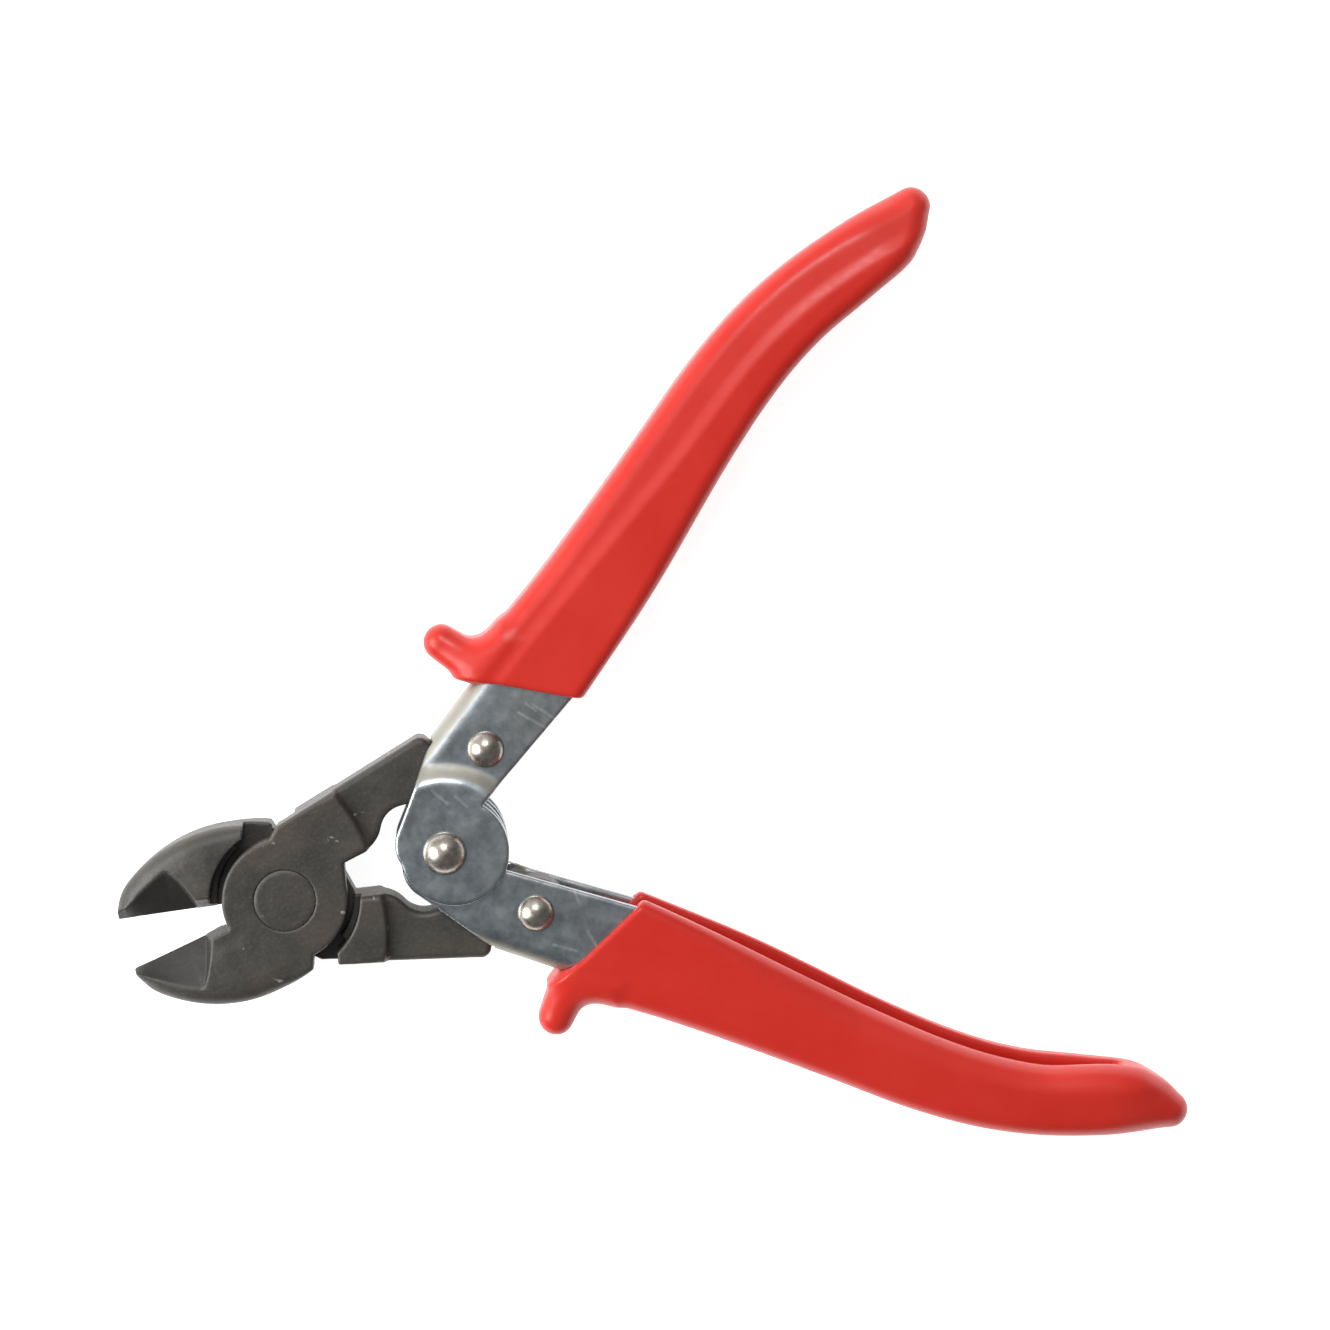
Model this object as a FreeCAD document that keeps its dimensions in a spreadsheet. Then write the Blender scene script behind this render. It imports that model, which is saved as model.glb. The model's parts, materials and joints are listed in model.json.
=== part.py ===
import FreeCAD, Part

import math
import os

import Sketcher

# Compound-action diagonal cutting pliers, opened as far as the handles go.
#
# Two identical forgings, each a jaw, a half-thickness lap disc and a tang, are
# flipped face to face on the jaw rivet.  Each tang runs into a pressed U-channel
# handle and turns there on a link rivet.  The two handles are identical pressings
# too: one side wall ends in an eye that is set outward by the sheet's thickness,
# the other in a flat eye, so that flipped handles overlap on the handle rivet.
#
# Tool frame: origin on the jaw rivet's axis in the middle of the thickness, +X
# towards the handles, +Z through the tool.  The row frame moves that origin so
# that the tool lies on Z = 0 with its outline centred on X = 0 and Y = 0.

NODES = {}

DIMENSIONS = {
    "joint_thickness": 12.0,
    "lap_gap": 0.05,
    "open_half_angle": 8.8,
    "jaw_length": 30.2,
    "edge_setback": 0.05,
    "lap_radius": 11.2,
    "recess_radius": 13.4,
    "tip_thickness": 5.0,
    "blade_root": 14.0,
    "tang_reach": 45.0,
    "tang_closed_angle": 11.37,
    "tang_thickness": 8.4,
    "tang_end_radius": 6.0,
    "link_offset": 19.85,
    "handle_open_angle": 36.0,
    "sheet_thickness": 1.6,
    "eye_gap": 0.05,
    "eye_radius": 9.8,
    "joggle_start": 12.2,
    "joggle_end": 16.2,
    "channel_depth": 14.2,
    "bend_radius": 1.8,
    "grip_thickness": 14.5,
    "grip_lining": 1.3,
    "horn_thickness": 10.0,
    "grip_round": 2.5,
    "running_clearance": 0.05,
    "jaw_rivet_radius": 4.0,
    "jaw_head_radius": 5.5,
    "jaw_head_depth": 1.6,
    "handle_rivet_radius": 2.9,
    "handle_head_radius": 3.85,
    "handle_head_rise": 3.0,
    "link_rivet_radius": 2.4,
    "link_head_radius": 3.25,
    "link_head_rise": 2.4,
    "open_pivot_clearance": 0.65,
    "spacer_radius": 4.6,
}

doc = FreeCAD.newDocument("cutters")
sheet = doc.addObject("Spreadsheet::Sheet", "dims")
for row, (alias, value) in enumerate(DIMENSIONS.items(), start=1):
    sheet.set(f"A{row}", alias)
    sheet.set(f"B{row}", str(value))
    sheet.setAlias(f"B{row}", alias)
doc.recompute()


def dim(alias):
    return float(sheet.get(alias))


def polar(radius, degrees):
    angle = math.radians(degrees)
    return (radius * math.cos(angle), radius * math.sin(angle))


# ---- the linkage: where the pivots are with the jaws open and closed ----

def handle_rivet_x(tang_angle):
    reach, rise = polar(dim("tang_reach"), tang_angle)
    return reach - math.sqrt(dim("link_offset") ** 2 - rise ** 2)


def link_angle(tang_angle):
    rise = polar(dim("tang_reach"), tang_angle)[1]
    return math.degrees(math.asin(rise / dim("link_offset")))


OPEN_TANG = dim("tang_closed_angle") + dim("open_half_angle")
HANDLE_X = handle_rivet_x(OPEN_TANG)
LINK_IN_HANDLE = polar(dim("link_offset"), link_angle(OPEN_TANG) - dim("handle_open_angle"))
LINK_IN_FORGING = polar(dim("tang_reach"), dim("tang_closed_angle"))
HANDLE_TRAVEL = 2.0 * (link_angle(OPEN_TANG) - link_angle(dim("tang_closed_angle")))


# ---- sketch and feature helpers ----

def around(centre, radius, degrees):
    offset = polar(radius, degrees)
    return (centre[0] + offset[0], centre[1] + offset[1])


def vector(point, height=0.0):
    return FreeCAD.Vector(point[0], point[1], height)


def draw(sketch, start, *moves):
    """Add a closed outline: each move is an end point, a mid and an end point, or a
    spline's list of points.  The last move comes back to the start."""
    here = start
    first = len(sketch.Geometry)
    for move in moves:
        if isinstance(move, list):
            curve = Part.BSplineCurve()
            curve.interpolate([vector(point) for point in [here] + move])
            end = move[-1]
        elif isinstance(move[0], tuple):
            end = move[1]
            curve = Part.Arc(vector(here), vector(move[0]), vector(end))
        else:
            end = move
            curve = Part.LineSegment(vector(here), vector(end))
        sketch.addGeometry(curve, False)
        here = end
    return range(first, len(sketch.Geometry))


def circle(sketch, centre, radius, expression):
    """Add a circle whose radius is bound to the sheet."""
    index = sketch.addGeometry(Part.Circle(vector(centre), FreeCAD.Vector(0, 0, 1), radius), False)
    constraint = sketch.addConstraint(Sketcher.Constraint("Radius", index, radius))
    sketch.setExpression(f"Constraints[{constraint}]", expression)


def new_sketch(body, name, role="XY_Plane", offset=None):
    sketch = body.newObject("Sketcher::SketchObject", name)
    plane = next(feature for feature in body.Origin.OriginFeatures if feature.Role == role)
    sketch.AttachmentSupport = (plane, [""])
    sketch.MapMode = "FlatFace"
    if offset is not None:
        sketch.AttachmentOffset = offset
    return sketch


def lifted(height):
    return FreeCAD.Placement(FreeCAD.Vector(0, 0, height), FreeCAD.Rotation())


def pad(body, sketch, name, expression):
    """Raise a sketch equally to both sides, to a whole thickness from the sheet."""
    feature = body.newObject("PartDesign::Pad", name)
    feature.Profile = sketch
    feature.Midplane = True
    feature.setExpression("Length", expression)
    doc.recompute()
    return feature


def cut_middle(body, sketch, name, expression):
    """Cut a sketch equally to both sides of its plane."""
    feature = body.newObject("PartDesign::Pocket", name)
    feature.Profile = sketch
    feature.Midplane = True
    feature.setExpression("Length", expression)
    return checked_cut(body, feature)


def cut_through(body, sketch, name, both=True, upward=False):
    """Cut a sketch right through, to both sides or to one."""
    feature = body.newObject("PartDesign::Pocket", name)
    feature.Profile = sketch
    feature.Type = "ThroughAll"
    feature.Midplane = both
    feature.Reversed = upward
    return checked_cut(body, feature)


def checked_cut(body, feature):
    before = feature.BaseFeature.Shape.Volume
    doc.recompute()
    if feature.Shape.Volume > before - 0.01:
        raise RuntimeError(f"{body.Label}: {feature.Name} cut nothing")
    return feature


# ---- the jaw forgings ----

def forging_outline():
    """The forging with its cutting edge on the -X axis: jaw below it, tang above."""
    lap = dim("lap_radius")
    edge = -dim("edge_setback")
    link = LINK_IN_FORGING
    end = dim("tang_end_radius")
    heel = (-0.9, -13.5)
    neck = (4.6, 12.6)
    start = (-dim("jaw_length"), edge)
    moves = [
        ((-29.7, -3.3), (-27.3, -6.8)),
        ((-19.0, -12.3), (-11.2, -14.3)),
        ((-6.0, -14.35), heel),
        polar(lap, -89.0),
        (polar(lap, -45.0), polar(lap, -13.0)),
        (12.2, 0.8),
        ((12.4, 1.3), (13.0, 1.4)),
        (16.6, 1.45),
        ((19.2, 2.4), (20.9, 4.0)),
        ((22.9, 5.7), (25.4, 6.1)),
        around(link, end, -97.0),
        (around(link, end, 0.0), around(link, end, 105.0)),
        (36.1, 12.6),
        (35.3, 14.2),
        ((34.7, 15.4), (33.3, 15.85)),
        neck,
        polar(lap, 79.0),
        (polar(lap, 135.0), (-math.sqrt(lap ** 2 - edge ** 2), edge)),
        start,
    ]
    return start, moves


def add_blade_bevel(body):
    """Grind the cutting edge: one twisted bevel on the +Z side, mirrored to the other."""
    land = 0.12
    above = 0.5 * dim("joint_thickness") + 1.0
    clear_y = 1.0
    root_width = 13.0
    tip_width = 7.5
    ridge_angle = -31.5
    past_tip = -dim("jaw_length") - 0.6
    sections = []
    for name, x, width, turn in (("root", -dim("blade_root"), root_width, ridge_angle),
                                 ("tip", past_tip, tip_width, 0.0)):
        offset = FreeCAD.Placement(FreeCAD.Vector(0, 0, x), FreeCAD.Rotation(FreeCAD.Vector(0, 1, 0), turn))
        section = new_sketch(body, f"{body.Name}_{name}_bevel", "YZ_Plane", offset)
        draw(section, (0.0, land), (clear_y, land), (clear_y, above), (-width, above), (0.0, land))
        sections.append(section)
    bevel = body.newObject("PartDesign::SubtractiveLoft", f"{body.Name}_bevel")
    bevel.Profile = sections[0]
    bevel.Sections = sections[1:]
    bevel.Ruled = True
    checked_cut(body, bevel)
    other = body.newObject("PartDesign::Mirrored", f"{body.Name}_bevels")
    other.Originals = [bevel]
    plane = next(feature for feature in body.Origin.OriginFeatures if feature.Role == "XY_Plane")
    other.MirrorPlane = (plane, [""])
    body.Tip = other
    doc.recompute()


def make_forging(label, link_clearance):
    body = doc.addObject("PartDesign::Body", label)
    face = 0.5 * dim("joint_thickness")

    outline = new_sketch(body, f"{label}_outline")
    start, moves = forging_outline()
    draw(outline, start, *moves)
    pad(body, outline, f"{label}_blank", "dims.joint_thickness")

    # The back half is cleared for the other forging's lap disc, heel and neck.
    lap = new_sketch(body, f"{label}_lap", offset=lifted(0.5 * dim("lap_gap")))
    recess = dim("recess_radius")
    outside = 17.5
    draw(
        lap,
        polar(recess, -104.0),
        (polar(recess, -20.0), polar(recess, 54.0)),
        (7.4, outside),
        (0.0, outside),
        polar(recess, 95.0),
        (polar(recess, 170.0), polar(recess, -116.0)),
        (-4.6, -outside),
        (3.0, -outside),
        polar(recess, -104.0),
    )
    cut_through(body, lap, f"{label}_lap_recess", both=False)

    # Both sides of the tang are thinned to go between the handle's walls.
    step = [(14.8, 15.4), ((16.9, 9.0), (16.7, 1.0))]
    past_end = 60.0
    past_back = 25.0
    for side, name in ((1.0, "front"), (-1.0, "back")):
        thin = new_sketch(body, f"{label}_{name}_thin", offset=lifted(side * 0.5 * dim("tang_thickness")))
        draw(thin, step[0], step[1], (past_end, step[1][1][1]), (past_end, past_back), (step[0][0], past_back),
             step[0])
        cut_through(body, thin, f"{label}_{name}_step", both=False, upward=side > 0)

    # The jaw gets thinner towards its tip.
    taper = new_sketch(body, f"{label}_taper", "XZ_Plane")
    thin_tip = 0.5 * dim("tip_thickness")
    root = -dim("blade_root")
    reach = -dim("jaw_length") - 1.0
    above = face + 1.0
    for side in (1.0, -1.0):
        draw(taper, (root, side * face), (reach, side * thin_tip), (reach, side * above), (root, side * above),
             (root, side * face))
    cut_through(body, taper, f"{label}_tip_taper")
    add_blade_bevel(body)

    bores = new_sketch(body, f"{label}_bores")
    circle(bores, (0.0, 0.0), dim("jaw_rivet_radius") + dim("running_clearance"),
           "dims.jaw_rivet_radius + dims.running_clearance")
    circle(bores, LINK_IN_FORGING, dim("link_rivet_radius") + dim(link_clearance),
           f"dims.link_rivet_radius + dims.{link_clearance}")
    cut_through(body, bores, f"{label}_bore_cut")

    floor = face - dim("jaw_head_depth") - dim("running_clearance")
    seat = new_sketch(body, f"{label}_seat", offset=lifted(floor))
    circle(seat, (0.0, 0.0), dim("jaw_head_radius") + dim("running_clearance"),
           "dims.jaw_head_radius + dims.running_clearance")
    cut_through(body, seat, f"{label}_head_seat", both=False, upward=True)
    NODES[label] = body
    return body


# ---- the pressed handles ----

EYE_CENTRE = (1.2, -1.3)
WEB_START = 14.3
STRAIGHT_END = 66.0
TAIL = 130.0


def steel_back(setting):
    """The channel's back, or a line a distance inside it, from the web's front end."""
    depth = dim("channel_depth") - setting
    return [(WEB_START, depth), (STRAIGHT_END, depth), ((102.0, 15.0 - setting), (TAIL, 9.9 - setting))]


def handle_outline():
    radius = dim("eye_radius")
    notch = around(EYE_CENTRE, radius, 6.0)
    back = steel_back(0.0)
    moves = [
        (around(EYE_CENTRE, radius, -110.0), around(EYE_CENTRE, radius, 140.0)),
        ((-4.6, 7.6), (-2.0, 9.0)),
        ((6.0, 11.4), back[0]),
        back[1],
        back[2],
        (TAIL, -0.6),
        ((118.0, 2.7), (100.0, 4.3)),
        ((84.0, 3.0), (62.0, 0.3)),
        (36.0, -1.6),
        notch,
    ]
    return notch, moves


def make_handle(label):
    body = doc.addObject("PartDesign::Body", label)
    face = 0.5 * dim("joint_thickness")
    sheet_thickness = dim("sheet_thickness")
    inner = face - sheet_thickness
    start, moves = handle_outline()

    outline = new_sketch(body, f"{label}_outline")
    draw(outline, start, *moves)
    blank = pad(body, outline, f"{label}_blank", "dims.joint_thickness")

    bends = []
    for index, edge in enumerate(blank.Shape.Edges, start=1):
        box = edge.BoundBox
        flat = box.ZLength < 0.01 and box.YMin > 9.0 and box.XMin > WEB_START - 0.1
        if flat:
            bends.append(f"Edge{index}")
    fillet = body.newObject("PartDesign::Fillet", f"{label}_bends")
    fillet.Base = (blank, bends)
    fillet.setExpression("Radius", "dims.bend_radius")
    doc.recompute()

    # The inside of the U, open towards the other handle and at both ends.
    inside = new_sketch(body, f"{label}_inside")
    web = steel_back(sheet_thickness)
    past = TAIL + 1.0
    clear = 20.0
    draw(inside, web[0], web[1], web[2], (past, web[2][1][1]), (past, -clear), (-clear, -clear),
         (-clear, clear), (WEB_START, clear), web[0])
    cut_middle(body, inside, f"{label}_channel", "dims.joint_thickness - 2 * dims.sheet_thickness")

    # The +Z eye is set outward: its wall is cleared, then put back as a joggle, a
    # figure of revolution about the rivet's axis, trimmed to the outline.
    joggle_end = dim("joggle_end")
    cleared = new_sketch(body, f"{label}_clear", offset=lifted(0.5 * face))
    circle(cleared, (0.0, 0.0), joggle_end, "dims.joggle_end")
    cut_through(body, cleared, f"{label}_eye_clear", both=False, upward=True)
    profile = new_sketch(body, f"{label}_joggle", "XZ_Plane")
    low = face + dim("eye_gap")
    high = low + sheet_thickness
    start_r = dim("joggle_start")
    overlap = joggle_end + 0.4
    draw(profile, (1.0, low), (start_r, low), (joggle_end - 0.6, inner), (overlap, inner), (overlap, face),
         (joggle_end + 0.2, face), (start_r + 0.7, high), (1.0, high), (1.0, low))
    joggle = body.newObject("PartDesign::Revolution", f"{label}_eye")
    joggle.Profile = profile
    joggle.ReferenceAxis = (profile, ["V_Axis"])
    joggle.Angle = 360.0
    doc.recompute()
    trim = new_sketch(body, f"{label}_trim")
    beyond = (17.5, -0.61)
    wide = 30.0
    draw(trim, start, *moves[:3], (WEB_START, wide), (-wide, wide), (-wide, -wide), (beyond[0], -wide),
         beyond, start)
    cut_through(body, trim, f"{label}_eye_trim")

    bores = new_sketch(body, f"{label}_bores")
    circle(bores, (0.0, 0.0), dim("handle_rivet_radius") + dim("running_clearance"),
           "dims.handle_rivet_radius + dims.running_clearance")
    circle(bores, LINK_IN_HANDLE, dim("link_rivet_radius") + dim("running_clearance"),
           "dims.link_rivet_radius + dims.running_clearance")
    cut_through(body, bores, f"{label}_bore_cut")
    NODES[label] = body
    return body


# ---- the moulded grips ----

GRIP_BACK = [(50.0, 16.6), (65.0, 16.8), (80.0, 17.3), (95.0, 17.9), (108.0, 17.3), (120.0, 15.1),
             (133.0, 11.0), (142.6, 6.8)]
GRIP_FRONT = [(138.0, -2.2), (133.0, -2.8), (124.0, -0.5), (113.0, 1.9), (101.0, 2.6), (85.0, 1.5),
              (60.0, -1.6), (36.7, -3.1)]
GRIP_MOUTH = (28.0, 14.2)


def make_grip_blank(label):
    body = doc.addObject("PartDesign::Body", f"{label}_blank")
    outline = new_sketch(body, f"{label}_outline")
    draw(outline, GRIP_FRONT[-1], GRIP_MOUTH, (27.5, 16.9), (38.5, 16.9), GRIP_BACK,
         ((145.8, 3.4), (142.6, -0.3)), GRIP_FRONT)
    solid = pad(body, outline, f"{label}_solid", "dims.grip_thickness")
    half = 0.5 * dim("grip_thickness")
    rims = []
    for index, edge in enumerate(solid.Shape.Edges, start=1):
        box = edge.BoundBox
        if box.ZLength < 0.01 and abs(abs(box.ZMin) - half) < 0.01 and box.XMax > 40.0:
            rims.append(f"Edge{index}")
    fillet = body.newObject("PartDesign::Fillet", f"{label}_rounds")
    fillet.Base = (solid, rims)
    fillet.setExpression("Radius", "dims.grip_round")
    doc.recompute()

    # The finger guard stands up from the back, just behind the mouth.
    horn = new_sketch(body, f"{label}_horn")
    draw(horn, (28.0, 14.3), ((26.4, 17.8), (25.8, 21.8)), ((29.5, 26.2), (33.3, 21.8)),
         ((34.7, 18.3), (38.5, 16.6)), (38.5, 14.3), (28.0, 14.3))
    pad(body, horn, f"{label}_guard", "dims.horn_thickness")

    # The groove along the inner side: the lined inside of the channel.
    groove = new_sketch(body, f"{label}_groove")
    roof = steel_back(dim("sheet_thickness") + dim("grip_lining"))
    below = -9.0
    draw(groove, roof[0], roof[1], ((96.0, roof[2][0][1] - 0.1), (122.0, 9.6)), (126.0, below),
         (14.0, below), roof[0])
    cut_middle(body, groove, f"{label}_groove_cut",
               "dims.joint_thickness - 2 * dims.sheet_thickness - 2 * dims.grip_lining")
    return body


def make_grip(label, handle):
    blank = make_grip_blank(label)
    grip = doc.addObject("Part::Cut", label)
    grip.Base = blank
    grip.Tool = handle
    NODES[label] = grip
    return blank


# ---- rivets and the spacer ----

def make_rivet(label, shank, head, seat, rise):
    """A rivet with a domed head at each end, a little flat on top, its middle at Z = 0."""
    body = doc.addObject("PartDesign::Body", label)
    profile = new_sketch(body, f"{label}_profile", "XZ_Plane")
    rim = seat + 0.2 * rise
    top = seat + rise
    flat = 0.15 * head
    centre = (top ** 2 + flat ** 2 - rim ** 2 - head ** 2) / (2.0 * (top - rim))
    shoulder = around((0.0, centre), math.hypot(head, rim - centre), 65.0)
    draw(profile, (0.0, -top), (flat, -top), ((shoulder[0], -shoulder[1]), (head, -rim)), (head, -seat),
         (shank, -seat), (shank, seat), (head, seat), (head, rim), (shoulder, (flat, top)), (0.0, top),
         (0.0, -top))
    turned = body.newObject("PartDesign::Revolution", f"{label}_turned")
    turned.Profile = profile
    turned.ReferenceAxis = (profile, ["V_Axis"])
    turned.Angle = 360.0
    doc.recompute()
    NODES[label] = body
    return body


def make_jaw_rivet(label):
    """A flush rivet: its two flat heads fill the seats in the lap discs."""
    body = doc.addObject("PartDesign::Body", label)
    face = 0.5 * dim("joint_thickness")
    under = face - dim("jaw_head_depth")
    shank = dim("jaw_rivet_radius")
    head = dim("jaw_head_radius")
    profile = new_sketch(body, f"{label}_profile", "XZ_Plane")
    draw(profile, (0.0, -face), (head, -face), (head, -under), (shank, -under), (shank, under),
         (head, under), (head, face), (0.0, face), (0.0, -face))
    turned = body.newObject("PartDesign::Revolution", f"{label}_turned")
    turned.Profile = profile
    turned.ReferenceAxis = (profile, ["V_Axis"])
    turned.Angle = 360.0
    doc.recompute()
    NODES[label] = body
    return body


def make_spacer(label):
    """The tube round the handle rivet that holds the channel's walls apart."""
    length = "dims.joint_thickness - 2 * dims.sheet_thickness - 2 * dims.eye_gap"
    outside = doc.addObject("Part::Cylinder", f"{label}_outside")
    outside.setExpression("Radius", "dims.spacer_radius")
    outside.setExpression("Height", length)
    bore = doc.addObject("Part::Cylinder", f"{label}_bore")
    bore.setExpression("Radius", "dims.handle_rivet_radius + dims.running_clearance")
    bore.setExpression("Height", length)
    doc.recompute()
    for cylinder in (outside, bore):
        cylinder.Placement = lifted(-0.5 * cylinder.Height.Value)
    spacer = doc.addObject("Part::Cut", label)
    spacer.Base = outside
    spacer.Tool = bore
    NODES[label] = spacer
    return spacer


# ---- placing ----

FLIP = FreeCAD.Rotation(FreeCAD.Vector(1, 0, 0), 180.0)


def turned_to(angle, point=(0.0, 0.0), flipped=False):
    """Turn about Z in the tool frame; the flipped twin is the same piece turned over."""
    turn = FreeCAD.Rotation(FreeCAD.Vector(0, 0, 1), angle)
    if flipped:
        turn = FLIP.multiply(turn)
        return FreeCAD.Placement(vector((point[0], -point[1])), turn)
    return FreeCAD.Placement(vector(point), turn)


open_half = dim("open_half_angle")
handle_angle = dim("handle_open_angle")
handle_point = (HANDLE_X, 0.0)
link_point = polar(dim("tang_reach"), OPEN_TANG)
face_height = 0.5 * dim("joint_thickness")
eye_face = face_height + dim("eye_gap") + dim("sheet_thickness")
floor_to_middle = eye_face + dim("eye_gap") + dim("handle_head_rise")

placed = [
    (make_forging("lower_jaw", "open_pivot_clearance"), turned_to(open_half)),
    (make_forging("upper_jaw", "running_clearance"), turned_to(open_half, flipped=True)),
    (make_jaw_rivet("jaw_pivot_rivet"), turned_to(0.0)),
]
for label, flipped in (("upper", False), ("lower", True)):
    placement = turned_to(handle_angle, handle_point, flipped)
    handle = make_handle(f"{label}_handle")
    placed.append((handle, placement))
    placed.append((make_grip(f"{label}_grip", handle), placement))
    rivet = make_rivet(f"{label}_link_rivet", dim("link_rivet_radius"), dim("link_head_radius"),
                       face_height + dim("eye_gap"), dim("link_head_rise"))
    placed.append((rivet, turned_to(0.0, link_point, flipped)))
handle_rivet = make_rivet("handle_pivot_rivet", dim("handle_rivet_radius"), dim("handle_head_radius"),
                          eye_face + dim("eye_gap"), dim("handle_head_rise"))
placed.append((handle_rivet, turned_to(0.0, handle_point)))
placed.append((make_spacer("pivot_spacer"), turned_to(0.0, handle_point)))

for piece, placement in placed:
    piece.Placement = placement
doc.recompute()
reach = Part.makeCompound([node.Shape for node in NODES.values()]).optimalBoundingBox()
middle_x = 0.5 * (reach.XMin + reach.XMax)
to_row = FreeCAD.Placement(FreeCAD.Vector(-middle_x, 0, floor_to_middle), FreeCAD.Rotation())
for piece, placement in placed:
    piece.Placement = to_row.multiply(placement)
doc.recompute()

# ---- checks and files ----

for thing in doc.Objects:
    if "Invalid" in thing.State or "Error" in thing.State:
        raise RuntimeError(f"{thing.Name} failed: {thing.State}")
for label, node in NODES.items():
    node.Label = label
    if node.Shape.isNull() or not node.Shape.isValid():
        raise RuntimeError(f"{label} has no valid shape")
    if len(node.Shape.Solids) != 1:
        raise RuntimeError(f"{label} has {len(node.Shape.Solids)} solids")

os.makedirs("parts", exist_ok=True)
for label, node in NODES.items():
    node.Shape.exportStep(f"parts/{label}.step")
    box = node.Shape.BoundBox
    print(f"{label}: {node.Shape.Volume:.0f} mm3, Z {box.ZMin:.2f} to {box.ZMax:.2f}")
print(f"jaw pivot x {-middle_x:.4f}, handle pivot x {HANDLE_X - middle_x:.4f}, middle z {floor_to_middle:.4f}")
print(f"link pivots x {link_point[0] - middle_x:.4f}, y {link_point[1]:.4f}, travel {HANDLE_TRAVEL:.3f}")
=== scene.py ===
import json
import math
from functools import partial

import bpy
import numpy as np
from mathutils import Matrix, Vector


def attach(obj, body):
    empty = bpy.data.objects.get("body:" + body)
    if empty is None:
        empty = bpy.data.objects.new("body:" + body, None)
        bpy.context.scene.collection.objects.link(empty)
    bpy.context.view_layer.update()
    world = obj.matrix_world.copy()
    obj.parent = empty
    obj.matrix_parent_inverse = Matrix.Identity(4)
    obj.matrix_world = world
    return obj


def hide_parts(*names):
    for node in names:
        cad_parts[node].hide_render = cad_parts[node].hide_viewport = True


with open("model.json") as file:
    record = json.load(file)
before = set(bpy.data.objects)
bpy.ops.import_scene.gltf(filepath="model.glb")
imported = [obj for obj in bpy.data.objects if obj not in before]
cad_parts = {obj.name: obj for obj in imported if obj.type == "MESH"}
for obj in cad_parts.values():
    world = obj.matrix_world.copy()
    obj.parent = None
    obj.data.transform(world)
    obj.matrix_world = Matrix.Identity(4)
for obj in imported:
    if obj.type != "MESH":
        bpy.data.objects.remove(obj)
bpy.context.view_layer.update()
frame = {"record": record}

# Compound-action diagonal cutters, lying open on a pale floor.
#
# The forgings, the pressed handles and the grips are modelled as distance fields in
# their own flat frames, in millimetres, and meshed by surface nets.  The two handles
# are one shape, placed as it is and turned over, and so are the two grips.  The two
# jaws differ only in how wide the bevel's root was ground.

MM = 0.001

record = frame["record"]
pivots = {joint["name"]: Vector(joint["pos_m"]) for joint in record["behaviour"]["joints"]}
JAW_PIVOT = pivots["jaw_pivot"]
HANDLE_PIVOT = pivots["handle_pivot"]
LOWER_LINK = pivots["lower_link_pivot"]
UPPER_LINK = Vector((LOWER_LINK.x, -LOWER_LINK.y, LOWER_LINK.z))
OPEN_HALF_ANGLE = 8.8
HANDLE_ANGLE = 36.0
JOINT_HALF = 6.0


# ---- points and outlines ----

def polar(radius, degrees, centre=(0.0, 0.0)):
    angle = math.radians(degrees)
    return (centre[0] + radius * math.cos(angle), centre[1] + radius * math.sin(angle))


def in_frame(point, origin, degrees):
    """A point of the row frame as seen from a frame turned about Z, in millimetres."""
    across = (point - origin) / MM
    angle = math.radians(-degrees)
    return (across.x * math.cos(angle) - across.y * math.sin(angle),
            across.x * math.sin(angle) + across.y * math.cos(angle))


LINK_IN_FORGING = in_frame(UPPER_LINK, JAW_PIVOT, OPEN_HALF_ANGLE)
LINK_IN_HANDLE = in_frame(UPPER_LINK, HANDLE_PIVOT, HANDLE_ANGLE)


def arc_points(start, middle, end, spacing):
    """Points along the arc through three points, its start left out."""
    (ax, ay), (bx, by), (cx, cy) = start, middle, end
    d = 2.0 * (ax * (by - cy) + bx * (cy - ay) + cx * (ay - by))
    ux = ((ax**2 + ay**2) * (by - cy) + (bx**2 + by**2) * (cy - ay) + (cx**2 + cy**2) * (ay - by)) / d
    uy = ((ax**2 + ay**2) * (cx - bx) + (bx**2 + by**2) * (ax - cx) + (cx**2 + cy**2) * (bx - ax)) / d
    first, via, last = (math.atan2(y - uy, x - ux) for x, y in (start, middle, end))
    sweep = (last - first) % (2.0 * math.pi)
    if (via - first) % (2.0 * math.pi) > sweep:
        sweep -= 2.0 * math.pi
    radius = math.hypot(ax - ux, ay - uy)
    count = max(2, math.ceil(abs(sweep) * radius / spacing))
    angles = first + sweep * np.arange(1, count + 1) / count
    return [(ux + radius * math.cos(a), uy + radius * math.sin(a)) for a in angles]


def spline_points(points, spacing):
    """Points along a Catmull-Rom curve through the points, the first left out."""
    ends = [np.subtract(np.multiply(points[0], 2.0), points[1])] + [np.array(p) for p in points]
    ends.append(np.subtract(np.multiply(points[-1], 2.0), points[-2]))
    found = []
    for a, b, c, d in zip(ends, ends[1:], ends[2:], ends[3:]):
        count = max(2, math.ceil(np.linalg.norm(c - b) / spacing))
        for t in np.arange(1, count + 1) / count:
            found.append(tuple(0.5 * (2 * b + (c - a) * t + (2 * a - 5 * b + 4 * c - d) * t**2
                                      + (3 * b - a - 3 * c + d) * t**3)))
    return found


def trace(start, *moves, spacing=0.5):
    """A closed outline.  A move is an end point, a (middle, end) arc or a list for a spline."""
    points = [start]
    for move in moves:
        if isinstance(move, list):
            points += spline_points([points[-1]] + move, spacing)
        elif isinstance(move[0], tuple):
            points += arc_points(points[-1], move[0], move[1], spacing)
        else:
            points.append(move)
    return points


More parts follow.
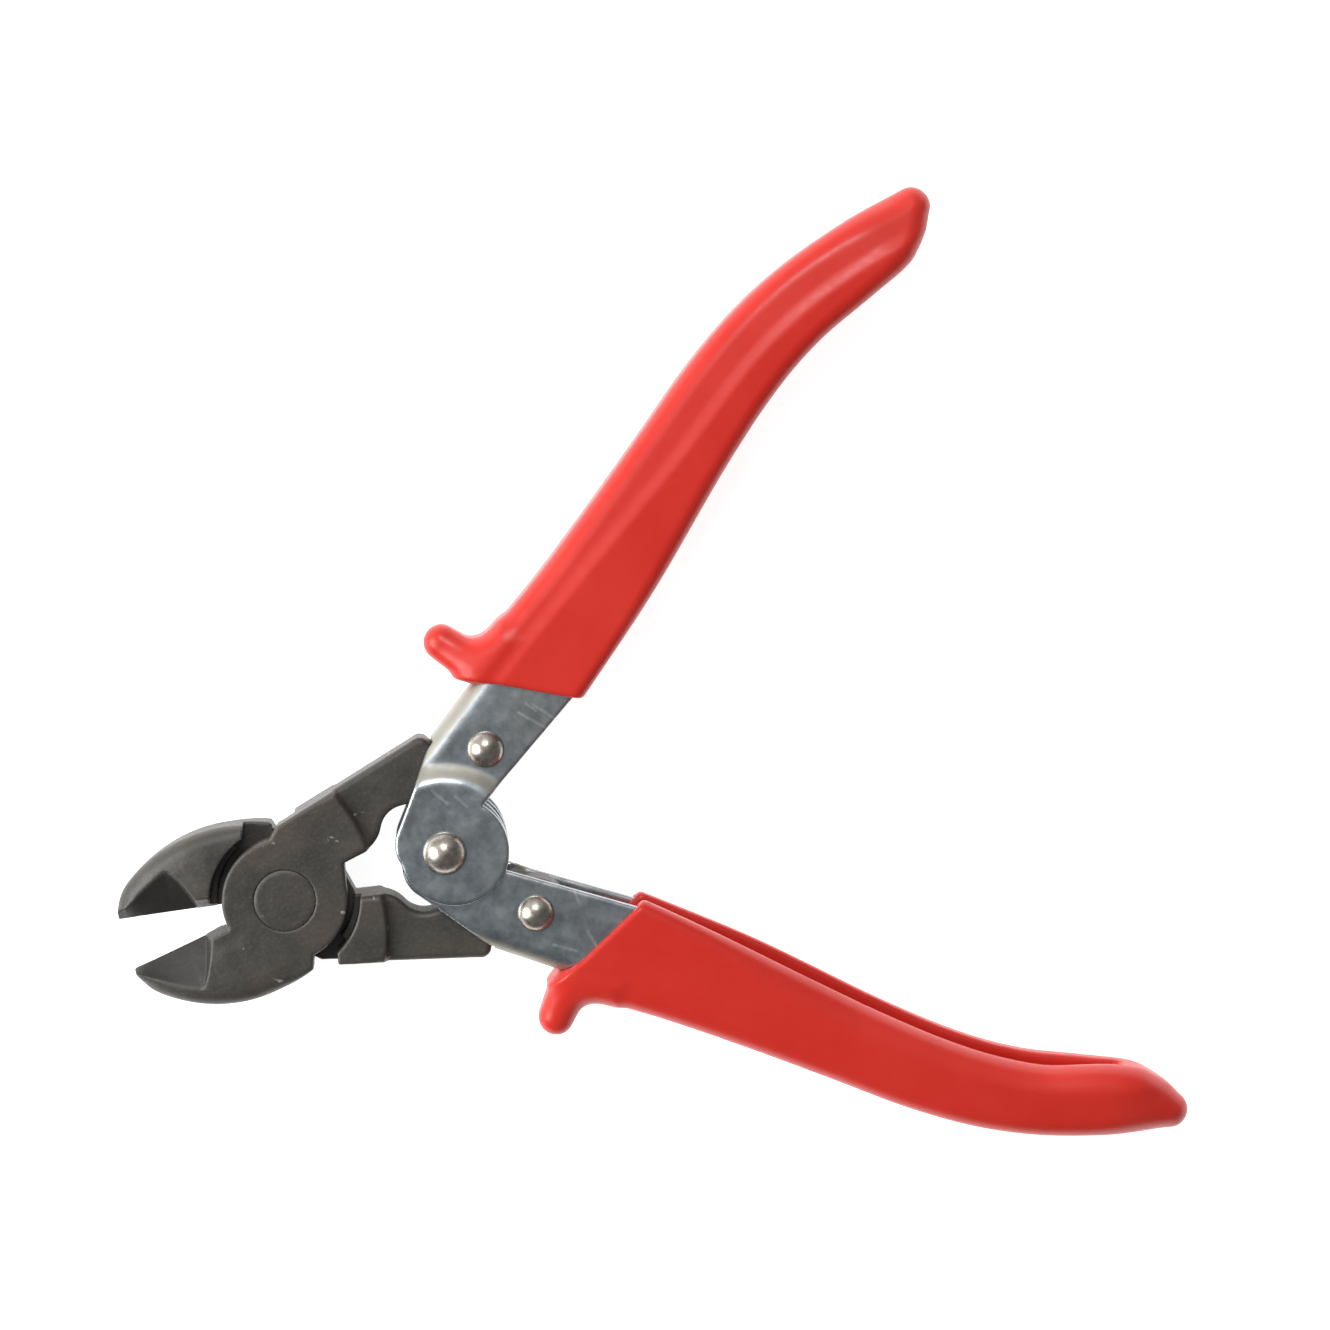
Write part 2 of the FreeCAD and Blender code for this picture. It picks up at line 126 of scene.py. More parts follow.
def beside(curve, far):
    """An outline of all that lies on one side of a curve, as far as y = far."""
    last = curve[-1] if isinstance(curve[-1][0], float) else curve[-1][-1]
    return trace((-40.0, curve[0][1]), *curve, (190.0, last[1]), (190.0, far), (-40.0, far))


# ---- distance fields ----

def outline_distance(points, x, y):
    """Distance in the plane to a closed outline, negative inside."""
    nearest = np.full(np.broadcast(x, y).shape, np.inf)
    inside = np.zeros(nearest.shape, bool)
    for (ax, ay), (bx, by) in zip(points, points[1:] + points[:1]):
        ex, ey = bx - ax, by - ay
        if ex == 0.0 and ey == 0.0:
            continue
        along = np.clip(((x - ax) * ex + (y - ay) * ey) / (ex * ex + ey * ey), 0.0, 1.0)
        nearest = np.minimum(nearest, (x - ax - along * ex) ** 2 + (y - ay - along * ey) ** 2)
        if ey != 0.0:
            inside ^= ((ay > y) != (by > y)) & (x < ax + ex * (y - ay) / ey)
    return np.where(inside, -1.0, 1.0) * np.sqrt(nearest)


def line_distance(start, end, x, y):
    """Distance from an endless line, positive on the left of its direction."""
    dx, dy = end[0] - start[0], end[1] - start[1]
    return (dx * (y - start[1]) - dy * (x - start[0])) / math.hypot(dx, dy)


def join(a, b, blend):
    """The union of two fields, filleted."""
    near = np.maximum(blend - np.abs(a - b), 0.0) / blend
    return np.minimum(a, b) - 0.25 * blend * near**2


def meet(a, b, blend):
    """What two fields share, the crease between them eased."""
    return -join(-a, -b, blend)


def rounded(a, b, radius):
    """What two fields share, with the outer corner rounded to a radius."""
    outside = np.hypot(np.maximum(a + radius, 0.0), np.maximum(b + radius, 0.0))
    return outside + np.minimum(np.maximum(a + radius, b + radius), 0.0) - radius


def ramp(value, start, end):
    """0 before start, 1 after end, and smooth between."""
    t = np.clip((value - start) / (end - start), 0.0, 1.0)
    return t * t * (3.0 - 2.0 * t)


def grid(low, high, step):
    """Open x, y and z coordinates of a box of samples, with room round it."""
    lines = [np.arange(a - 2.0 * step, b + 3.0 * step, step) for a, b in zip(low, high)]
    return np.ix_(*lines)


def surface_net(field, x, y, z):
    """The field's zero level as points and quads: a point in each crossed cell."""
    origin = np.array([x.flat[0], y.flat[0], z.flat[0]])
    step = x.flat[1] - x.flat[0]
    cells = tuple(n - 1 for n in field.shape)
    total = np.zeros((*cells, 3))
    count = np.zeros(cells)
    quads = []
    for axis in range(3):
        before = [slice(None)] * 3
        after = [slice(None)] * 3
        before[axis] = slice(0, -1)
        after[axis] = slice(1, None)
        a, b = field[tuple(before)], field[tuple(after)]
        crossed = np.argwhere((a < 0.0) != (b < 0.0))
        va, vb = a[tuple(crossed.T)], b[tuple(crossed.T)]
        place = crossed.astype(float)
        place[:, axis] += va / (va - vb)
        ring = []
        for du, dv in ((0, 0), (1, 0), (1, 1), (0, 1)):
            cell = crossed.copy()
            cell[:, (axis + 1) % 3] -= du
            cell[:, (axis + 2) % 3] -= dv
            np.add.at(total, tuple(cell.T), place)
            np.add.at(count, tuple(cell.T), 1.0)
            ring.append(cell)
        for facing, order in ((va < 0.0, (0, 1, 2, 3)), (va >= 0.0, (3, 2, 1, 0))):
            quads.append(np.stack([ring[i][facing] for i in order], axis=1))
    used = count > 0.0
    index = np.full(cells, -1)
    index[used] = np.arange(used.sum())
    points = origin + step * total[used] / count[used][:, None]
    corners = np.concatenate(quads)
    return points, index[tuple(np.moveaxis(corners, 2, 0))]


def settled(points, field, limit):
    """The points moved along the field's slope onto its zero level."""
    reach = 0.02
    for _ in range(2):
        x, y, z = points.T
        value = field(x, y, z)
        slope = np.stack([field(x + reach, y, z), field(x, y + reach, z), field(x, y, z + reach)], axis=1)
        slope = (slope - value[:, None]) / reach
        steep = np.maximum((slope**2).sum(axis=1), 0.3)
        points = points - np.clip((value / steep)[:, None] * slope, -limit, limit)
    return points


# ---- the jaw forging, cutting edge on its -X axis ----

LAP_RADIUS = 11.2
RECESS_RADIUS = 13.4
JAW_LENGTH = 30.2
BLADE_ROOT = 13.0
HEEL = (-0.9, -13.5)
NECK = (4.6, 12.6)
TIP_HALF = 2.6
TANG_HALF = 4.2
EDGE_LAND = 0.12
EDGE_Y = -0.02
TANG_END_RADIUS = 6.0
JAW_BORE = 4.05
SEAT_RADIUS = 5.5
SEAT_DEPTH = 1.65
LINK_BORE = 2.45
WIDE_ROOT = 2.4
NARROW_ROOT = 0.6

# The ground bevel meets the jaw's face along BEVEL_SIDE, from the tip to the grind's
# corner.  From there the wheel ran out along RUN_OUT, back in to the cutting edge.
BEVEL_SIDE = ((-30.2, -0.9), (-28.4, -2.4), (-27.0, -3.6), (-24.3, -5.9), (-22.3, -7.4), (-20.6, -8.4),
              (-14.0, -8.9))
RUN_OUT = ((-20.2, -8.5), (-18.1, -6.1), (-16.2, -3.3), (-14.6, -0.6), (-13.9, 2.0))


def forging_outline():
    link = LINK_IN_FORGING
    return trace(
        (-JAW_LENGTH, EDGE_Y),
        ((-29.7, -3.3), (-27.3, -6.8)),
        ((-19.0, -12.3), (-11.2, -14.3)),
        ((-6.0, -14.35), HEEL),
        polar(LAP_RADIUS, -89.0),
        (polar(LAP_RADIUS, -45.0), polar(LAP_RADIUS, -13.0)),
        (12.2, 0.8),
        ((12.4, 1.3), (13.0, 1.4)),
        (16.6, 1.45),
        ((19.2, 2.4), (20.9, 4.0)),
        ((22.9, 5.7), (25.4, 6.1)),
        polar(TANG_END_RADIUS, -97.0, link),
        (polar(TANG_END_RADIUS, 0.0, link), polar(TANG_END_RADIUS, 105.0, link)),
        (36.1, 12.6),
        (35.3, 14.2),
        ((34.7, 15.4), (33.3, 15.85)),
        NECK,
        polar(LAP_RADIUS, 79.0),
        (polar(LAP_RADIUS, 135.0), (-LAP_RADIUS, EDGE_Y)),
    )


def face_height(x, y):
    """How high each face stands: full at the jaw and disc, lower on the tang and to the tip."""
    step_line = trace((14.8, 16.5), ((16.9, 9.0), (16.4, -1.0)), (60.0, -1.0), (60.0, 16.5))
    on_tang = ramp(-outline_distance(step_line, x, y), -0.1, 0.9)
    toward_tip = np.clip((-BLADE_ROOT - x) / (JAW_LENGTH - BLADE_ROOT), 0.0, 1.0)
    return JOINT_HALF - (JOINT_HALF - TANG_HALF) * on_tang - (JOINT_HALF - TIP_HALF) * toward_tip**1.4


def bevel_height(x, y, face, root_width):
    """How high the ground bevel stands above the middle plane, on either side."""
    side_x, side_y = zip(*BEVEL_SIDE)
    rise = (face - EDGE_LAND) * (EDGE_Y - y)
    facet = EDGE_LAND + rise / -np.interp(x, side_x, side_y)
    ground = trace(*RUN_OUT, (-45.0, 2.0), (-45.0, -20.0), (-20.2, -20.0))
    wall = face + 4.0 * outline_distance(ground, x, y)
    root = EDGE_LAND + rise / root_width
    return np.maximum(np.minimum(-join(-facet, -wall, 0.6), root), -2.0)


def forging_field(x, y, z, root_width):
    radius = np.hypot(x, y)
    flat = outline_distance(forging_outline(), x, y)
    face = face_height(x, y)

    # The jaw's outer edge has a broad round, the tang and the disc a small one.
    on_jaw = ramp(-x, 0.0, 9.0) * ramp(-y, 0.0, 4.0)
    small_round = 0.5 + 0.6 * ramp(x, 10.0, 16.0)
    edge = np.minimum(small_round + 2.0 * on_jaw, 0.8 * face)
    crown = 0.35 * on_jaw * ramp(flat, -4.5, -1.0)
    body = rounded(flat, np.abs(z) - face + crown, edge)

    # Bevels on both sides of the cutting edge, as far back as the disc.
    grind = (np.abs(z) - bevel_height(x, y, face, root_width)) * 0.7
    on_blade = (x < 0.0) & (radius > LAP_RADIUS)
    field = np.where(on_blade, meet(body, grind, 0.12), body)

    # The back half is turned out round the disc of the other forging, and cleared
    # beside it where the other's heel and neck pass.
    outside = 19.5
    relief = trace(
        polar(RECESS_RADIUS, 54.0), (7.4, outside), (-0.5, outside), polar(RECESS_RADIUS, 95.0),
        (polar(RECESS_RADIUS, 170.0), polar(RECESS_RADIUS, -116.0)),
        (-4.9, -outside), (6.0, -outside), polar(RECESS_RADIUS, -88.0),
        (polar(RECESS_RADIUS, -20.0), polar(RECESS_RADIUS, 54.0)),
    )
    turned_out = np.maximum(outline_distance(relief, x, y), z)

    # A step is left round the foot of the turned wall, clear of those two passages.
    bearing = np.degrees(np.arctan2(y, x))
    clear_of_passages = (bearing < 44.0) & (bearing > -94.0) | (bearing > 105.0) | (bearing < -126.0)
    step = np.maximum(12.25 - radius, -1.9 - z)
    turned_out = np.where(clear_of_passages, np.maximum(turned_out, -step), turned_out)
    field = meet(field, -turned_out, 0.3)

    # Rivet hole, the seat of its head and the link's bore.
    hole = radius - JAW_BORE
    seat = np.maximum(radius - SEAT_RADIUS, JOINT_HALF - SEAT_DEPTH - z)
    link = np.hypot(x - LINK_IN_FORGING[0], y - LINK_IN_FORGING[1]) - LINK_BORE
    return np.maximum(np.maximum(field, -hole), np.maximum(-seat, -link))


def shaded_bevels(x, y, z):
    """Marks the ground bevels, where shade is painted into the forging's colour."""
    face = face_height(x, y)
    on_blade = ramp(-x, LAP_RADIUS, LAP_RADIUS + 1.0) * ramp(-y, -0.5, 0.2)
    below_face = ramp(face - np.abs(z), 0.25, 0.6)
    at_bevel = ramp(np.abs(z) - 1.06 * bevel_height(x, y, face, WIDE_ROOT), -0.9, -0.3)
    return on_blade * below_face * at_bevel


# ---- the pressed handle, along +X from its rivet ----

SHEET = 1.6
EYE_GAP = 0.05
EYE_CENTRE = (1.2, -1.3)
EYE_RADIUS = 9.8
WEB_START = 14.3
CHANNEL_DEPTH = 14.2
STRAIGHT_END = 66.0
TAIL = 130.0
JOGGLE = (12.2, 16.2)
SCRATCHES = (
    ((30.6, 3.5, 6.0), (30.9, -1.1, 6.0)), ((27.9, 4.6, 6.0), (28.7, -1.2, 6.0)),
    ((30.0, 4.6, 6.0), (30.1, 2.4, 6.0)),
    ((7.6, 8.6, 7.65), (7.4, 5.1, 7.65)), ((9.2, 4.7, 7.65), (9.1, 2.0, 7.65)),
    ((28.9, 5.3, -6.0), (31.2, 7.3, -6.0)), ((24.0, 9.7, -6.0), (28.3, 9.4, -6.0)),
    ((24.3, -0.7, -6.0), (25.9, 1.1, -6.0)),
)
BEND_RADIUS = 3.2
HANDLE_BORE = 2.95
TAIL_TAPER = (48.0, 112.0, 2.6)


def channel_back(setting):
    """The channel's back, or a line a distance inside it, from the web's front end."""
    depth = CHANNEL_DEPTH - setting
    return [(WEB_START, depth), (STRAIGHT_END, depth), ((102.0, 15.0 - setting), (TAIL, 9.9 - setting))]


def tail_narrowing(x):
    """How much nearer the middle plane the walls stand along the tail inside the grip."""
    start, end, depth = TAIL_TAPER
    return depth * ramp(x, start, end)


def handle_outline():
    notch = polar(EYE_RADIUS, 6.0, EYE_CENTRE)
    back = channel_back(0.0)
    return trace(
        notch,
        (polar(EYE_RADIUS, -110.0, EYE_CENTRE), polar(EYE_RADIUS, 140.0, EYE_CENTRE)),
        ((-4.6, 7.6), (-2.0, 9.0)),
        ((6.0, 11.4), back[0]),
        back[1],
        back[2],
        (TAIL, -0.6),
        ((118.0, 2.7), (100.0, 4.3)),
        ((84.0, 3.0), (62.0, 0.3)),
        (36.0, -1.6),
    )


def handle_field(x, y, z):
    flat = outline_distance(handle_outline(), x, y)
    web = outline_distance(beside(channel_back(0.0), -60.0), x, y)

    # The front wall stands one sheet higher at the eye than along the channel.
    raised = 1.0 - ramp(np.hypot(x, y), *JOGGLE)
    lift = (SHEET + EYE_GAP) * raised
    tall = np.where(z > 0.0, np.abs(z) - lift, np.abs(z)) + tail_narrowing(x)
    outer = rounded(web, tall - JOINT_HALF, BEND_RADIUS)
    shell = np.abs(outer + 0.5 * SHEET) - 0.5 * SHEET
    between_walls = np.abs(z) < JOINT_HALF - SHEET
    shell = np.where(between_walls, np.maximum(shell, WEB_START - x), shell)
    hidden_setting = 2.0 * ramp(x, 41.0, 52.0)
    sheared = meet(shell, flat + hidden_setting, 0.5)
    rivet = np.hypot(x, y) - HANDLE_BORE
    link = np.hypot(x - LINK_IN_HANDLE[0], y - LINK_IN_HANDLE[1]) - LINK_BORE
    return np.maximum(sheared, -np.minimum(rivet, link))


def stretched_sheet(x, y, z):
    """Marks the joggle and the outside of the bends, where the plating went dull."""
    radius = np.hypot(x, y)
    start, end = JOGGLE
    joggle = ramp(radius, start + 0.9, start + 1.5) * ramp(-radius, -end - 0.1, -end + 0.6)
    back = outline_distance(beside(channel_back(0.0), -60.0), x, y)
    return np.maximum(joggle * (z > 0.0), ramp(back, -2.3, -1.5))


# ---- the moulded grip, in the handle's frame ----

GRIP_HALF = 7.25
HORN_HALF = 4.1
GROOVE_HALF = 3.1
LINING = 1.3
LIP_SETBACK = 1.3
GUARD_ROUND = 3.1
SOLID_FROM = 62.0

MOUTH = ((28.0, 14.2), (36.7, -3.1))
GRIP_BACK = [(50.0, 16.6), (65.0, 16.8), (80.0, 17.3), (95.0, 17.9), (108.0, 17.3), (120.0, 15.1),
             (133.0, 10.9), (143.3, 6.4)]
GRIP_FRONT = [(140.3, -1.5), (137.0, -2.3), (133.0, -2.5), (124.0, -0.5), (113.0, 1.9), (101.0, 2.6),
              (85.0, 1.5), (60.0, -1.6), (36.7, -3.1)]


def grip_outline():
    """The bar of the grip, carried on in front of the mouth that cuts it off."""
    nose = ((145.7, 3.5), (143.3, -0.1))
    return trace((18.0, -3.1), (18.0, 16.9), (38.5, 16.9), GRIP_BACK, nose, GRIP_FRONT)


def horn_outline():
    return trace(
        (27.5, 13.5),
        ((26.5, 17.0), (26.1, 20.5)),
        (26.1, 23.0),
        ((29.3, 26.1), (32.5, 22.9)),
        (32.8, 20.5),
        ((33.9, 18.3), (36.2, 16.9)),
        (38.5, 16.4),
        (38.5, 12.0),
        (29.0, 12.0),
    )


def grip_field(x, y, z):
    bar = outline_distance(grip_outline(), x, y)
    horn = outline_distance(horn_outline(), x, y)
    from_front = -outline_distance(beside([GRIP_FRONT[-1], GRIP_FRONT[-2::-1]], 60.0), x, y)
    from_back = -outline_distance(beside([(38.5, 16.9), GRIP_BACK], -60.0), x, y)

    # One lip is set back from the other, from the mouth to the slot's end.
    setback = LIP_SETBACK * ramp(x, 34.0, 66.0) * (1.0 - ramp(x, 116.0, 130.0)) * (z < 0.0)
    bar = np.maximum(bar, setback - from_front)

    # A ridge runs from near the back at the mouth to the front at the tip.  Behind it
    # each side slopes down, and on one side steps down too.
    past = np.maximum(7.0 + 2.3 * ramp(x, 45.0, 95.0) - from_back, 0.0)
    back_drop = 0.36 * ramp(past, 0.0, 3.0) * (z > 0.0) + 0.1 * np.maximum(past - 0.5, 0.0)
    half = GRIP_HALF - 2.2 * ramp(x, 130.0, 147.0) - back_drop
    front_edge = 2.2 + np.where(z < 0.0, 2.6, 0.7) * ramp(x, 38.0, 75.0)
    toward_back = ramp(from_front - from_back, -2.5, 4.0)
    edge = front_edge + (3.6 - front_edge) * toward_back + 0.8 * ramp(x, 118.0, 142.0)
    body = rounded(bar, np.abs(z) - half, np.minimum(edge, 0.95 * half))
    mouth = -line_distance(*MOUTH, x, y)
    horn_half = HORN_HALF + 2.0 * ramp(-y, -24.0, -15.5)
    guard = rounded(horn, np.abs(z) - horn_half, GUARD_ROUND)
    whole = join(meet(body, mouth, 0.7), guard, 3.0)

    roof = channel_back(SHEET + LINING)
    slot_outline = trace(roof[0], roof[1], roof[2], (TAIL + 2.0, -14.0), (10.0, -14.0))
    across = np.abs(z) - GROOVE_HALF + 0.62 * tail_narrowing(x)
    slot = rounded(outline_distance(slot_outline, x, y), across, 0.6)
    whole = meet(whole, -slot, 1.0)

    # The steel shows only at the mouth, so the grip is solid round it further in.
    return np.where(x < SOLID_FROM, np.maximum(whole, 0.04 - handle_field(x, y, z)), whole)


# ---- making objects ----

def new_object(name, points, faces, placement, material, marks=None):
    """A mesh from points in mm in its own flat frame, which its material reads as own_frame.

    Marks say, from 0 to 1 at each point, where a piece's finish differs or, on the jaws, where shade is
    painted darker.
    """
    points = np.asarray(points) * MM
    turn = np.array(placement)
    mesh = bpy.data.meshes.new(name)
    mesh.vertices.add(len(points))
    mesh.vertices.foreach_set("co", (points @ turn[:3, :3].T + turn[:3, 3]).astype(np.float32).ravel())
    sizes = np.array([len(face) for face in faces], np.int32)
    mesh.loops.add(int(sizes.sum()))
    corners = np.concatenate([np.asarray(face) for face in faces])
    mesh.loops.foreach_set("vertex_index", corners.astype(np.int32))
    mesh.polygons.add(len(sizes))
    starts = np.concatenate(([0], np.cumsum(sizes)[:-1])).astype(np.int32)
    mesh.polygons.foreach_set("loop_start", starts)
    mesh.polygons.foreach_set("use_smooth", np.ones(len(sizes), bool))
    own_frame = mesh.attributes.new("own_frame", "FLOAT_VECTOR", "POINT")
    own_frame.data.foreach_set("vector", points.astype(np.float32).ravel())
    if marks is not None:
        mesh.attributes.new("mark", "FLOAT", "POINT").data.foreach_set("value", marks.astype(np.float32))
    mesh.update(calc_edges=True)
    mesh.materials.append(material)
    obj = bpy.data.objects.new(name, mesh)
    bpy.context.scene.collection.objects.link(obj)
    return obj


def placed(origin, degrees=0.0, turned_over=False):
    """A flat frame at a point of the row frame, turned about Z and perhaps turned over."""
    turn = Matrix.Rotation(math.radians(degrees), 4, "Z")
    if turned_over:
        turn = Matrix.Rotation(math.pi, 4, "X") @ turn
    return Matrix.Translation(origin) @ turn


# ---- materials ----

def colour(red, green, blue):
    """A display colour, 0 to 255, as the linear colour that shaders take."""
    parts = [value / 255.0 for value in (red, green, blue)]
    return [part / 12.92 if part <= 0.04045 else ((part + 0.055) / 1.055) ** 2.4 for part in parts] + [1.0]


class Surface:
    """A Principled material and the small nodes that feed it."""

    def __init__(self, name, **settings):
        self.material = bpy.data.materials.new(name)
        self.material.use_nodes = True
        self.tree = self.material.node_tree
        self.shader = self.tree.nodes["Principled BSDF"]
        self.place = self.add("ShaderNodeAttribute", attribute_name="own_frame").outputs["Vector"]
        for socket, value in settings.items():
            self.shader.inputs[socket.replace("_", " ")].default_value = value

    def add(self, kind, inputs=None, **settings):
        node = self.tree.nodes.new(kind)
        for key, value in settings.items():
            setattr(node, key, value)
        for key, value in (inputs or {}).items():
            self.feed(node.inputs[key], value)
        return node

    def feed(self, socket, value):
        if isinstance(value, bpy.types.NodeSocket):
            self.tree.links.new(value, socket)
        else:
            socket.default_value = value

    def stretched(self, scale):
        """Places in the piece's own frame, scaled by axis."""
        return self.add("ShaderNodeMapping", {"Vector": self.place, "Scale": scale}).outputs["Vector"]

    def noise(self, scale, detail=4.0, roughness=0.55, place=None):
        inputs = {"Vector": place or self.place, "Scale": scale, "Detail": detail, "Roughness": roughness}
        return self.add("ShaderNodeTexNoise", inputs).outputs["Fac"]

    def map(self, value, low, high, to_low=0.0, to_high=1.0):
        inputs = {"Value": value, "From Min": low, "From Max": high, "To Min": to_low, "To Max": to_high}
        return self.add("ShaderNodeMapRange", inputs, clamp=True).outputs["Result"]

    def mix(self, share, first, second):
        inputs = {"Factor": share, 6: first, 7: second}
        return self.add("ShaderNodeMix", inputs, data_type="RGBA").outputs[2]

    def maths(self, operation, first, second=0.0):
        return self.add("ShaderNodeMath", {0: first, 1: second}, operation=operation).outputs["Value"]

    def vectors(self, operation, inputs):
        return self.add("ShaderNodeVectorMath", inputs, operation=operation).outputs

    def bump(self, height, distance, strength=1.0, normal=None):
        inputs = {"Height": height, "Distance": distance, "Strength": strength}
        if normal is not None:
            inputs["Normal"] = normal
        return self.add("ShaderNodeBump", inputs).outputs["Normal"]

    def mark(self):
        """The marks that the mesh carries."""
        return self.add("ShaderNodeAttribute", attribute_name="mark").outputs["Fac"]

    def stroke(self, start, end, width):
        """1 along a straight scratch between two places given in mm, 0 away from it."""
        start, along = Vector(start) * MM, (Vector(end) - Vector(start)) * MM
        unit = along / along.length_squared
        offset = self.vectors("SUBTRACT", {0: self.place, 1: start})["Vector"]
        share = self.vectors("DOT_PRODUCT", {0: offset, 1: unit})["Value"]
        foot = self.vectors("SCALE", {0: along, "Scale": self.map(share, 0.0, 1.0)})["Vector"]
        gap = self.vectors("DISTANCE", {0: offset, 1: foot})["Value"]
        return self.map(gap, 0.0, width * MM, 1.0, 0.0)

    def edges(self, low, high):
        """Where the surface is convex, for wear."""
        return self.map(self.add("ShaderNodeNewGeometry").outputs["Pointiness"], low, high)

    def set(self, **values):
        for socket, value in values.items():
            self.feed(self.shader.inputs[socket.replace("_", " ")], value)
        return self.material


def forged_steel():
    """Phosphated, oiled forging: warm near-black with paler worn edges and nicks, and painted shade on the
    bevels.
    """
    s = Surface("forged_steel", IOR=1.55)
    cloud = s.noise(150.0, 5.0, 0.6)
    grain = s.noise(1700.0, 3.0, 0.6)
    base = s.mix(s.map(cloud, 0.35, 0.7), colour(58, 55, 51), colour(74, 70, 64))
    base = s.mix(s.map(s.noise(70.0, 3.0, 0.5), 0.48, 0.66, 0.0, 0.5), base, colour(82, 68, 61))
    base = s.mix(s.map(grain, 0.5, 0.8, 0.0, 0.3), base, colour(100, 96, 90))
    nicks = s.map(s.noise(420.0, 2.0, 0.4), 0.735, 0.765)
    base = s.mix(s.maths("MULTIPLY", nicks, 0.7), base, colour(168, 164, 156))
    worn = s.maths("MULTIPLY", s.edges(0.515, 0.57), s.map(grain, 0.3, 0.7, 0.4, 1.0))
    base = s.mix(s.maths("MULTIPLY", worn, 0.27), base, colour(112, 108, 101))
    # Painted shade: the bevels are darkened as if they faced away from the light.
    base = s.mix(s.maths("MULTIPLY", s.mark(), 0.8), base, colour(40, 38, 34))
    rough = s.map(grain, 0.3, 0.7, 0.38, 0.52)
    pits = s.bump(grain, 0.00006, 0.6)
    waves = s.bump(s.noise(160.0, 3.0), 0.0005, 0.5, pits)
    return s.set(Base_Color=base, Roughness=rough, Normal=waves)


def plated_sheet():
    """Bright zinc on pressed sheet: faintly mottled blue-grey, scratched, dull on the joggle."""
    s = Surface("plated_sheet", Metallic=1.0)
    mottle = s.noise(330.0, 5.0, 0.6)
    patches = s.noise(60.0, 3.0, 0.5)
    fine = s.noise(1400.0, 2.0, 0.5, s.stretched((1.0, 0.35, 1.0)))
    base = s.mix(s.map(mottle, 0.3, 0.7), colour(168, 178, 185), colour(200, 207, 211))
    base = s.mix(s.map(patches, 0.4, 0.7, 0.0, 0.4), base, colour(200, 198, 190))
    base = s.mix(s.map(fine, 0.4, 0.75, 0.0, 0.25), base, colour(222, 225, 226))
    for start, end in SCRATCHES:
        stroke = s.maths("MULTIPLY", s.stroke(start, end, 0.4), s.map(fine, 0.3, 0.6, 0.3, 0.9))
        base = s.mix(stroke, base, colour(250, 250, 250))

    # Where the sheet was stretched it lost its shine.
    dull = s.mark()
    base = s.mix(dull, base, colour(172, 169, 160))
    rough = s.maths("ADD", s.map(mottle, 0.3, 0.7, 0.23, 0.36), s.maths("MULTIPLY", dull, 0.22))
    normal = s.bump(fine, 0.00001, 0.4)
    normal = s.bump(patches, 0.0012, 0.35, normal)
    return s.set(Base_Color=base, Roughness=rough, Normal=normal)


def rivet_steel():
    s = Surface("rivet_steel", Metallic=1.0)
    mottle = s.noise(600.0, 5.0, 0.6)
    base = s.mix(s.map(mottle, 0.35, 0.7), colour(172, 162, 150), colour(212, 204, 194))
    rough = s.map(mottle, 0.3, 0.7, 0.24, 0.34)
    return s.set(Base_Color=base, Roughness=rough, Normal=s.bump(mottle, 0.00004, 0.5))


def grip_plastic():
    s = Surface("grip_plastic", IOR=1.46)
    cloud = s.noise(60.0, 3.0, 0.5)
    fine = s.noise(700.0, 2.0, 0.5)
    base = s.mix(s.map(cloud, 0.35, 0.7), colour(213, 44, 32), colour(221, 53, 41))
    rough = s.map(fine, 0.3, 0.7, 0.3, 0.38)
    return s.set(Base_Color=base, Roughness=rough, Normal=s.bump(cloud, 0.0004, 0.2))


def floor_paper():
    """White backdrop paper, lit from below as a light table is."""
    s = Surface("floor_paper", Roughness=0.9, Emission_Strength=0.95)
    base = s.mix(s.map(s.noise(30.0, 3.0), 0.3, 0.7), colour(240, 240, 240), colour(246, 246, 246))
    return s.set(Base_Color=base, Emission_Color=base)


# ---- the pieces ----

FORGED = forged_steel()
PLATED = plated_sheet()
RIVET = rivet_steel()
GRIP = grip_plastic()

FORGING_STEP = 0.32
HANDLE_STEP = 0.4
GRIP_STEP = 0.45

PLACES = {
    "lower_jaw": placed(JAW_PIVOT, OPEN_HALF_ANGLE),
    "upper_jaw": placed(JAW_PIVOT, OPEN_HALF_ANGLE, turned_over=True),
    "upper_handle": placed(HANDLE_PIVOT, HANDLE_ANGLE),
    "lower_handle": placed(HANDLE_PIVOT, HANDLE_ANGLE, turned_over=True),
}


def assign(piece, node, body):
    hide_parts(node)
    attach(piece, body)


def add_pieces(kind, names, field, marked, low, high, step, material):
    """Mesh a field once and place it as each of the pieces, given as (node, body) pairs."""
    x, y, z = grid(low, high, step)
    points, faces = surface_net(field(x, y, z), x, y, z)
    points = settled(points, field, 0.4 * step)
    marks = marked(*points.T) if marked else None
    for node, body in names:
        piece = new_object(f"{node}_{kind}", points, faces, PLACES[body], material, marks)
        assign(piece, node, body)


# The bevel's narrow part at the root was ground wider on one jaw than on the other.
for jaw, root_width in (("lower_jaw", NARROW_ROOT), ("upper_jaw", WIDE_ROOT)):
    add_pieces("forging", [(jaw, jaw)], partial(forging_field, root_width=root_width), shaded_bevels,
               (-31.0, -15.0, -6.1), (51.0, 16.5, 6.1), FORGING_STEP, FORGED)
add_pieces("pressing", [("upper_handle", "upper_handle"), ("lower_handle", "lower_handle")],
           handle_field, stretched_sheet, (-9.0, -11.5, -6.1), (131.0, 15.0, 7.8), HANDLE_STEP, PLATED)
add_pieces("moulding", [("upper_grip", "upper_handle"), ("lower_grip", "lower_handle")],
           grip_field, None, (24.5, -4.5, -7.4), (146.5, 26.6, 7.4), GRIP_STEP, GRIP)


